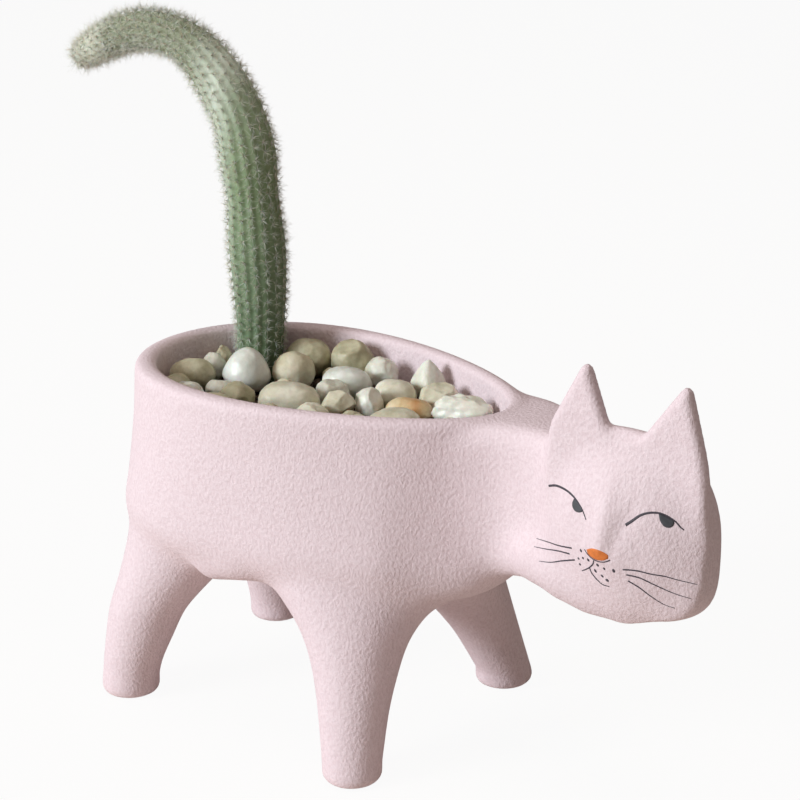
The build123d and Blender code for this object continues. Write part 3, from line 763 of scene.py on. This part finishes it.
# A stone's form: how many flats it has, how deep they cut, how lumpy and how boxy it is, and how much
# narrower its top is
ROUND = (0, 0.0, 0.05, 2.1, 0.0)
EGG = (0, 0.0, 0.04, 2.0, 0.34)
CONE = (1, 0.05, 0.05, 1.35, 0.0)
WORN = (2, 0.10, 0.08, 2.2, 0.0)
CHUNK = (5, 0.18, 0.10, 2.3, 0.12)
LUMPY = (0, 0.0, 0.24, 2.2, 0.0)
SHARP = (8, 0.32, 0.05, 2.2, 0.0)
FLAT = (1, 0.06, 0.06, 2.5, 0.1)
STONES = {
    1: ("pebble_olive", ROUND), 2: ("pebble_white", CHUNK), 3: ("pebble_grey", EGG),
    4: ("pebble_tan", ROUND), 5: ("pebble_cream", FLAT), 6: ("pebble_white", WORN),
    7: ("pebble_grey", ROUND), 8: ("pebble_olive", WORN), 9: ("pebble_olive", WORN),
    10: ("pebble_cream", ROUND), 11: ("pebble_white", CHUNK), 12: ("pebble_white", CONE),
    13: ("pebble_cream", CHUNK), 14: ("pebble_rust", FLAT), 15: ("pebble_cream", FLAT),
    16: ("pebble_white", LUMPY), 17: ("pebble_cream", WORN), 18: ("pebble_tan", WORN),
    19: ("pebble_white", CHUNK), 20: ("pebble_olive", ROUND), 21: ("pebble_cream", SHARP),
    22: ("pebble_tan", WORN), 23: ("pebble_white", LUMPY), 24: ("pebble_cream", CHUNK),
    25: ("pebble_tan", ROUND), 26: ("pebble_olive", WORN), 27: ("pebble_grey", WORN),
    28: ("pebble_white", CHUNK), 29: ("pebble_olive", WORN), 30: ("pebble_tan", CHUNK),
    31: ("pebble_olive", WORN), 32: ("pebble_white", CHUNK), 33: ("pebble_white", WORN),
    34: ("pebble_tan", CHUNK), 35: ("pebble_olive", WORN), 36: ("pebble_cream", CHUNK),
    37: ("pebble_white", CHUNK), 38: ("pebble_cream", SHARP), 39: ("pebble_cream", WORN),
    40: ("pebble_white", CHUNK), 41: ("pebble_white", WORN), 42: ("pebble_cream", CHUNK),
    43: ("pebble_tan", WORN),
}


def swell(place, lumps, seed):
    """How far out a stone's skin lies at a place on the unit ball."""
    waves = noise.noise(place * LUMP_SCALE + seed) + DENT_SHARE * noise.noise(place * DENT_SCALE + seed)
    return STONE_SWELL + lumps * waves + PIT_SHARE * noise.noise(place * PIT_SCALE + seed)


def pebble(number):
    """One stone, shaped inside its CAD pebble."""
    node = f"pebble_{number:02d}"
    material, (flats, depth, lumps, boxy, taper) = STONES[number]
    rng = random.Random(STONE_SEED + number)
    solid = node_points(node)
    centre = (solid.min(0) + solid.max(0)) / 2
    _, axes = np.linalg.eigh(np.cov((solid - centre).T))
    if np.linalg.det(axes) < 0:
        axes[:, 0] = -axes[:, 0]
    radii = np.abs((solid - centre) @ axes).max(0)
    form = STONE_POINTS / (np.abs(STONE_POINTS) ** boxy).sum(1)[:, None] ** (1 / boxy)
    for _ in range(flats):
        way = np.array([rng.gauss(0, 1) for _ in range(3)])
        way /= np.linalg.norm(way)
        over = form @ way - (1 - depth * rng.uniform(*FLAT_SPREAD))
        form = form - np.outer(np.where(over > 0, over * FLATNESS, 0), way)
    seed = Vector([rng.uniform(0, SEED_SPAN) for _ in range(3)])
    form = form * np.array([swell(Vector(p), lumps, seed) for p in STONE_POINTS])[:, None]
    upright = int(np.argmax(np.abs(axes[2])))
    level = form[:, upright] * np.sign(axes[2, upright])
    narrow = 1 - taper * np.clip(level + TAPER_START, 0, 1 + TAPER_START) / (1 + TAPER_START)
    for axis in range(3):
        form[:, axis] *= 1 if axis == upright else narrow
    form = form / np.maximum(1, np.abs(form).max(0) / STONE_LIMIT)
    points = centre + (form * radii) @ axes.T
    add_piece(f"stone_{number:02d}", points, STONE_FACES, material, "planting", [node])


for number in STONES:
    pebble(number)


# Soil crumbs in the gaps between the pebbles

CRUMBS = 620
CRUMB_SIZES, CRUMB_STRETCH = (0.5, 1.5), (0.75, 1.2)
CRUMB_RISE_SHARE = 0.25
CRUMB_REACH, CRUMB_OVAL = 0.93, 0.86
STEM_CLEARANCE = 8.5


def crumbs():
    """Small clods of compost on the soil's surface."""
    rng = random.Random(7)
    unit, unit_faces = ball(1)
    points, faces = [], []
    while len(faces) < CRUMBS * len(unit_faces):
        along, across = rng.uniform(-CRUMB_REACH, CRUMB_REACH), rng.uniform(-CRUMB_REACH, CRUMB_REACH)
        if along ** 2 + across ** 2 > CRUMB_OVAL:
            continue
        x = along * OPENING_LENGTH / 2 + FRAME_SHIFT
        y = across * OPENING_WIDTH / 2 * (1 - OPENING_TAPER * along)
        if math.hypot(x - STEM_X, y - STEM_Y) < STEM_CLEARANCE:
            continue
        size = rng.uniform(*CRUMB_SIZES)
        start = len(points)
        for p in unit:
            shape = p * [rng.uniform(*CRUMB_STRETCH) for _ in range(3)] * size
            points.append(shape + (x, y, SOIL_HEIGHT + size * CRUMB_RISE_SHARE))
        faces += [[start + corner for corner in face] for face in unit_faces]
    add_piece("soil_crumbs", points, faces, "soil", "planting")


crumbs()


# The cactus: low ribs broken into tubercles, with a tuft of spines and wool on each

# Points along the stem: X from its foot, Z and radius, as shares of the rim's height
STEM_SHARES = [
    (0.005, 0.760, 0.070), (0.005, 0.840, 0.070), (0.005, 0.920, 0.070), (0.009, 1.020, 0.072),
    (0.010, 1.130, 0.079), (0.003, 1.270, 0.085), (-0.008, 1.410, 0.076), (-0.023, 1.530, 0.083),
    (-0.048, 1.630, 0.077), (-0.093, 1.705, 0.078), (-0.158, 1.778, 0.074), (-0.240, 1.836, 0.068),
    (-0.338, 1.862, 0.067), (-0.438, 1.860, 0.066), (-0.540, 1.832, 0.062), (-0.626, 1.792, 0.054),
    (-0.672, 1.768, 0.046), (-0.696, 1.755, 0.034), (-0.708, 1.748, 0.016),
]
CURVE_STEP, STEM_STEP = 0.04, 0.55
RIBS, POINTS_PER_RIB = 16, 10
TUBERCLE_PITCH = 2.9
RIB_DEPTH, FULL_RIB_RADIUS = 0.42, 6
RIDGE_SHARE, TUBERCLE_SHARE = 0.45, 0.55
# The skin is thinner under the wool, from this share of the stem's length over the next
WOOL_DEPTH, WOOL_START_SHARE, WOOL_SPREAD_SHARE = 0.9, 0.5, 0.25
TUFT_DEPTH, TIP_MARGIN, SOIL_MARGIN, BARE_LENGTH = 0.15, 1.5, 1, 12
# Leans are in radians from straight out, and what grows is longer or denser by so much at the tip
SPINES_PER_TUFT, SPINE_TURN_SHARE = 8, 0.25
SPINE_LEANS, SPINE_LENGTHS, SPINE_GROWTH_SHARE = (0.55, 1.25), (1.5, 2.6), 0.25
SPINE_WIDTH, SPINE_BEND = 0.07, 0.1
WOOL_COUNT, WOOL_COUNT_GROWTH = 3, 15
WOOL_LEANS, WOOL_SHORTEST, WOOL_LONGEST, WOOL_GROWTH = (0.5, 1.35), 2.0, 3.4, 1.6
WOOL_WIDTH, WOOL_BEND = 0.055, 0.5
# A fibre's rings: how far along it they lie, and their width
FIBRE_RING_SHARES = ((0.0, 1.0), (0.5, 0.75))
FIBRE_SIDES = 3


def stem_path():
    """Points, headings, radii and running length along the stem, evenly spaced."""
    rows = np.array(STEM_SHARES) * RIM_HEIGHT
    rows = np.vstack([2 * rows[0] - rows[1], rows, 2 * rows[-1] - rows[-2]])
    fine = []
    for a, b, c, d in zip(rows, rows[1:], rows[2:], rows[3:]):
        fine += [between(a, b, c, d, t) for t in np.arange(0, 1, CURVE_STEP)]
    fine.append(rows[-2])
    fine = np.array(fine)
    run = np.concatenate([[0], np.cumsum(np.hypot(*np.diff(fine[:, :2], axis=0).T))])
    even = np.arange(0, run[-1], STEM_STEP)
    x, z, radius = (np.interp(even, run, fine[:, k]) for k in range(3))
    heading = np.stack([np.gradient(x), np.gradient(z)], 1)
    heading /= np.linalg.norm(heading, axis=1)[:, None]
    return even, x + STEM_X, z, radius, heading


def rib_height(run, angle):
    """How far the skin stands out at a place: 1 on a tubercle, 0 between the ribs."""
    lengthwise = RIBS * angle
    stagger = math.pi * np.floor(lengthwise / (2 * math.pi))
    tubercle = 0.5 + 0.5 * np.cos(2 * math.pi * run / TUBERCLE_PITCH + stagger)
    rib = 0.5 + 0.5 * np.cos(lengthwise - math.pi)
    return rib * (RIDGE_SHARE + TUBERCLE_SHARE * tubercle)


def thinned(run, i):
    """How much thinner the skin is under the long wool of the tail."""
    return WOOL_DEPTH * min(1.0, max(0.0, run[i] / run[-1] - WOOL_START_SHARE) / WOOL_SPREAD_SHARE)


def cactus():
    """The stem's skin, and its spines and wool."""
    run, x, z, radius, heading = stem_path()
    around = RIBS * POINTS_PER_RIB
    angles = 2 * math.pi * np.arange(around) / around
    rings = []
    for i in range(len(run)):
        depth = RIB_DEPTH * min(1.0, radius[i] / FULL_RIB_RADIUS)
        reach = radius[i] - depth + depth * rib_height(run[i], angles) - thinned(run, i)
        side = reach * np.cos(angles)
        out_x, out_z = -heading[i, 1] * side, heading[i, 0] * side
        rings.append(np.stack([x[i] + out_x, STEM_Y + reach * np.sin(angles), z[i] + out_z], 1))
    add_piece("cactus_skin", np.concatenate(rings), tube_faces(len(run), around), "cactus_skin", "planting",
              ["cactus_stem"])
    spines(run, x, z, radius, heading)


def fibre(points, faces, root, tip, width, bend):
    """One tapering fibre from root to tip."""
    way = (tip - root).normalized()
    side = way.orthogonal().normalized()
    over = way.cross(side)
    start = len(points)
    for share, wide in FIBRE_RING_SHARES:
        place = root.lerp(tip, share) + bend * (4 * share * (1 - share))
        for k in range(FIBRE_SIDES):
            angle = 2 * math.pi * k / FIBRE_SIDES
            points.append(place + (side * math.cos(angle) + over * math.sin(angle)) * width * wide)
    points.append(tip)
    ring, peak = start + FIBRE_SIDES, start + 2 * FIBRE_SIDES
    for k in range(FIBRE_SIDES):
        m = (k + 1) % FIBRE_SIDES
        faces.append([start + k, start + m, ring + m, ring + k])
        faces.append([ring + k, ring + m, peak])
    faces.append([start + k for k in reversed(range(FIBRE_SIDES))])


def tufts(run, x, z, radius, heading):
    """Each tuft's share of the way to the tip, its root, the stem's heading there and the way out."""
    total = run[-1]
    for rib in range(RIBS):
        angle = 2 * math.pi * (rib + 0.5) / RIBS
        place = TUBERCLE_PITCH * (0.0 if rib % 2 == 0 else 0.5)
        while place < total - TIP_MARGIN:
            i = min(int(place / STEM_STEP), len(run) - 1)
            if z[i] > SOIL_HEIGHT + SOIL_MARGIN:
                share = max(0.0, (place - BARE_LENGTH) / (total - BARE_LENGTH))
                ahead = Vector((heading[i, 0], 0, heading[i, 1]))
                side = math.cos(angle)
                out = Vector((-heading[i, 1] * side, math.sin(angle), heading[i, 0] * side))
                root = Vector((x[i], STEM_Y, z[i])) + out * (radius[i] - thinned(run, i) - TUFT_DEPTH)
                yield share, root, ahead, out
            place += TUBERCLE_PITCH


def leaning(ahead, out, turn, lean):
    """A direction that leans away from the way out, towards a turn round it."""
    around = ahead.cross(out)
    return out * math.cos(lean) + (ahead * math.cos(turn) + around * math.sin(turn)) * math.sin(lean)


def spines(run, x, z, radius, heading):
    """A tuft on every tubercle: stiff short spines, and soft wool that is longer towards the tip."""
    rng = random.Random(21)
    spine_points, spine_faces, wool_points, wool_faces = [], [], [], []
    for share, root, ahead, out in tufts(run, x, z, radius, heading):
        for k in range(SPINES_PER_TUFT):
            turn = 2 * math.pi * (k + rng.uniform(-SPINE_TURN_SHARE, SPINE_TURN_SHARE)) / SPINES_PER_TUFT
            way = leaning(ahead, out, turn, rng.uniform(*SPINE_LEANS))
            tip = root + way * (rng.uniform(*SPINE_LENGTHS) * (1 + SPINE_GROWTH_SHARE * share))
            fibre(spine_points, spine_faces, root, tip, SPINE_WIDTH, out * SPINE_BEND)
        for _ in range(int(WOOL_COUNT + WOOL_COUNT_GROWTH * share)):
            turn = rng.uniform(0, 2 * math.pi)
            way = leaning(ahead, out, turn, rng.uniform(*WOOL_LEANS))
            tip = root + way * rng.uniform(WOOL_SHORTEST, WOOL_LONGEST + WOOL_GROWTH * share)
            bend = Vector([rng.uniform(-WOOL_BEND, WOOL_BEND) for _ in range(3)])
            fibre(wool_points, wool_faces, root, tip, WOOL_WIDTH, bend)
    add_piece("cactus_spines", spine_points, spine_faces, "spines", "planting")
    add_piece("cactus_wool", wool_points, wool_faces, "wool", "planting")


cactus()


# Carried-over CAD nodes

CARRIED_OVER = {
    "drain_plug": "plug_rubber",
    "drain_screen": "screen_plastic",
    "drainage_grit": "grit_stone",
    "potting_soil": "soil",
    "root_ball": "roots",
}
for node, material in CARRIED_OVER.items():
    dress(node, material)


# Floor, light and camera, in metres

FLOOR_HALF, FLOOR_DROP = 6.0, 0.0002
FLOOR_COLOUR = (0.80, 0.71, 0.64, 1)
SEEN_WHITE = 0.94
SKY_COLOUR, SKY_STRENGTH = (1.0, 0.89, 0.82, 1), 0.14
LAMP_AIM = (0.0, 0.0, 0.08)
# Each soft box: its place, size, power and colour
LAMPS = {
    "key": ((-0.85, -1.46, 0.70), 0.65, 28.5, (0.90, 0.975, 1.0)),
    "top": ((0.0, -0.10, 1.20), 0.6, 4.0, (1.0, 0.90, 0.82)),
}


def floor():
    """A wide plain floor, nearly white to the camera, that keeps the object's shadow."""
    mesh = bpy.data.meshes.new("floor")
    corners = [(x * FLOOR_HALF, y * FLOOR_HALF, -FLOOR_DROP) for x, y in ((-1, -1), (1, -1), (1, 1), (-1, 1))]
    mesh.from_pydata(corners, [], [(0, 1, 2, 3)])
    plane = bpy.data.objects.new("floor", mesh)
    bpy.context.scene.collection.objects.link(plane)
    material = bpy.data.materials.new("floor")
    material.use_nodes = True
    tree = material.node_tree
    tree.nodes.clear()
    output = tree.nodes.new("ShaderNodeOutputMaterial")
    matte = tree.nodes.new("ShaderNodeBsdfDiffuse")
    matte.inputs["Color"].default_value = FLOOR_COLOUR
    white = tree.nodes.new("ShaderNodeEmission")
    path = tree.nodes.new("ShaderNodeLightPath")
    share = tree.nodes.new("ShaderNodeMath")
    share.operation = "MULTIPLY"
    share.inputs[1].default_value = SEEN_WHITE
    mix = tree.nodes.new("ShaderNodeMixShader")
    tree.links.new(path.outputs["Is Camera Ray"], share.inputs[0])
    tree.links.new(share.outputs[0], mix.inputs["Fac"])
    tree.links.new(matte.outputs[0], mix.inputs[1])
    tree.links.new(white.outputs[0], mix.inputs[2])
    tree.links.new(mix.outputs[0], output.inputs["Surface"])
    mesh.materials.append(material)


def soft_light(name, place, size, power, colour):
    """A square soft box that points at the object."""
    lamp = bpy.data.lights.new(name, "AREA")
    lamp.size, lamp.energy, lamp.color = size, power, colour
    holder = bpy.data.objects.new(name, lamp)
    bpy.context.scene.collection.objects.link(holder)
    holder.location = place
    holder.rotation_euler = (Vector(LAMP_AIM) - Vector(place)).to_track_quat("-Z", "Y").to_euler()


def world():
    """Even warm light, and nearly white behind the object."""
    sky = bpy.data.worlds.new("studio")
    bpy.context.scene.world = sky
    sky.use_nodes = True
    tree = sky.node_tree
    back = tree.nodes["Background"]
    back.inputs["Color"].default_value = SKY_COLOUR
    back.inputs["Strength"].default_value = SKY_STRENGTH
    seen = tree.nodes.new("ShaderNodeBackground")
    seen.inputs["Color"].default_value = (SEEN_WHITE, SEEN_WHITE, SEEN_WHITE, 1)
    path = tree.nodes.new("ShaderNodeLightPath")
    mix = tree.nodes.new("ShaderNodeMixShader")
    tree.links.new(path.outputs["Is Camera Ray"], mix.inputs["Fac"])
    tree.links.new(back.outputs[0], mix.inputs[1])
    tree.links.new(seen.outputs[0], mix.inputs[2])
    tree.links.new(mix.outputs[0], tree.nodes["World Output"].inputs["Surface"])


floor()
world()
for name, look in LAMPS.items():
    soft_light(name, *look)

camera_data = bpy.data.cameras.new("camera")
camera_data.lens = FOCAL_PIXELS / PHOTO_SIZE * SENSOR_WIDTH
camera_data.sensor_width = SENSOR_WIDTH
camera = bpy.data.objects.new("camera", camera_data)
bpy.context.scene.collection.objects.link(camera)
camera.location = eye * MM
camera.rotation_euler = Matrix((eye_right, eye_up, eye_back)).transposed().to_euler()
bpy.context.scene.camera = camera
bpy.context.scene.view_settings.view_transform = "Standard"
